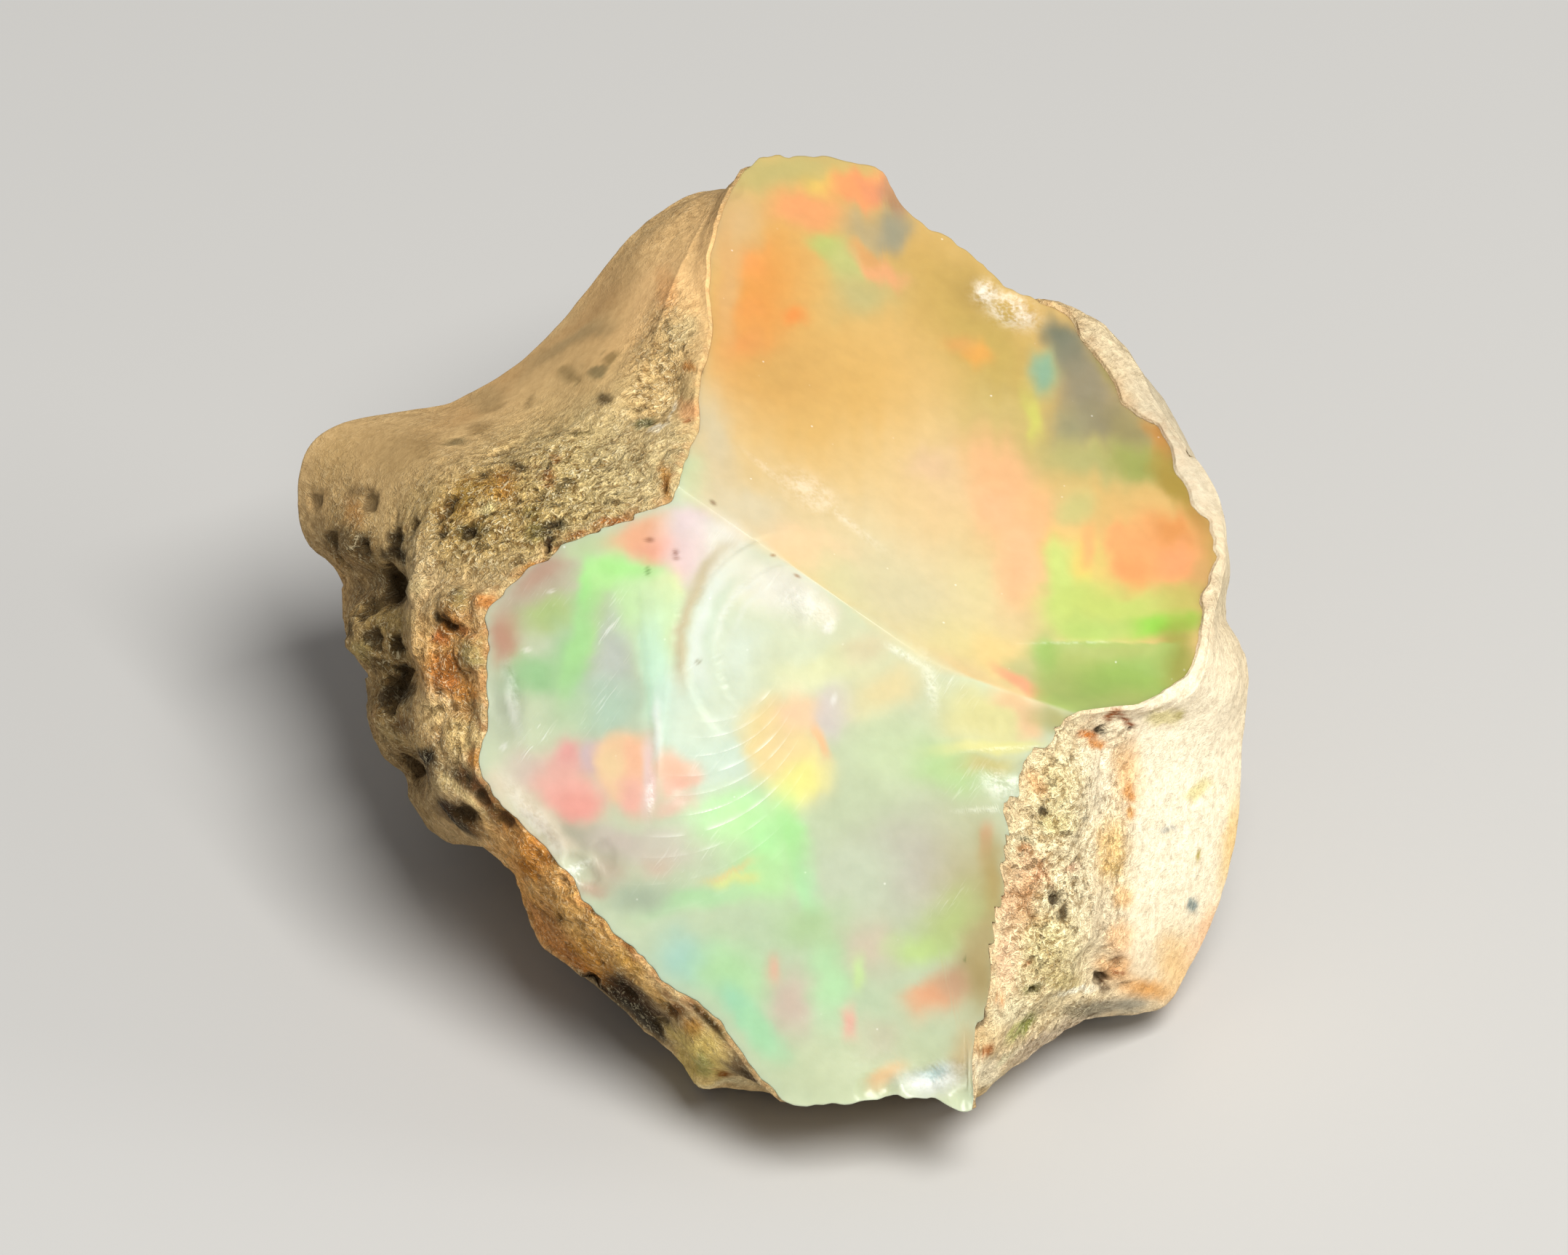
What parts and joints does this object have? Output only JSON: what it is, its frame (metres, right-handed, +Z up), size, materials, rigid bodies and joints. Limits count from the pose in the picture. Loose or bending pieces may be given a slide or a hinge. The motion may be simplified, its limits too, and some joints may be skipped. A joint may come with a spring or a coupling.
{
  "type": "ethiopian opal in matrix",
  "caption": "Broken nodule of milky precious opal with two fracture faces, still in its tan porous rhyolite rind. It rests on a flat facet.",
  "frame": {"origin": "middle of the flat facet that the stone rests on", "axes": "+Z up from the resting facet, +X to the right of a viewer who looks at the broken face, +Y away from that viewer"},
  "size_m": [0.0264, 0.0278, 0.0177],
  "materials": {
    "opal": "glassy, milky translucent precious opal with play of colour",
    "matrix": "dull, granular and porous rhyolite with rusty stains"
  },
  "bodies": {
    "root": {"opal": "opal", "matrix": "matrix"}
  },
  "joints": []
}
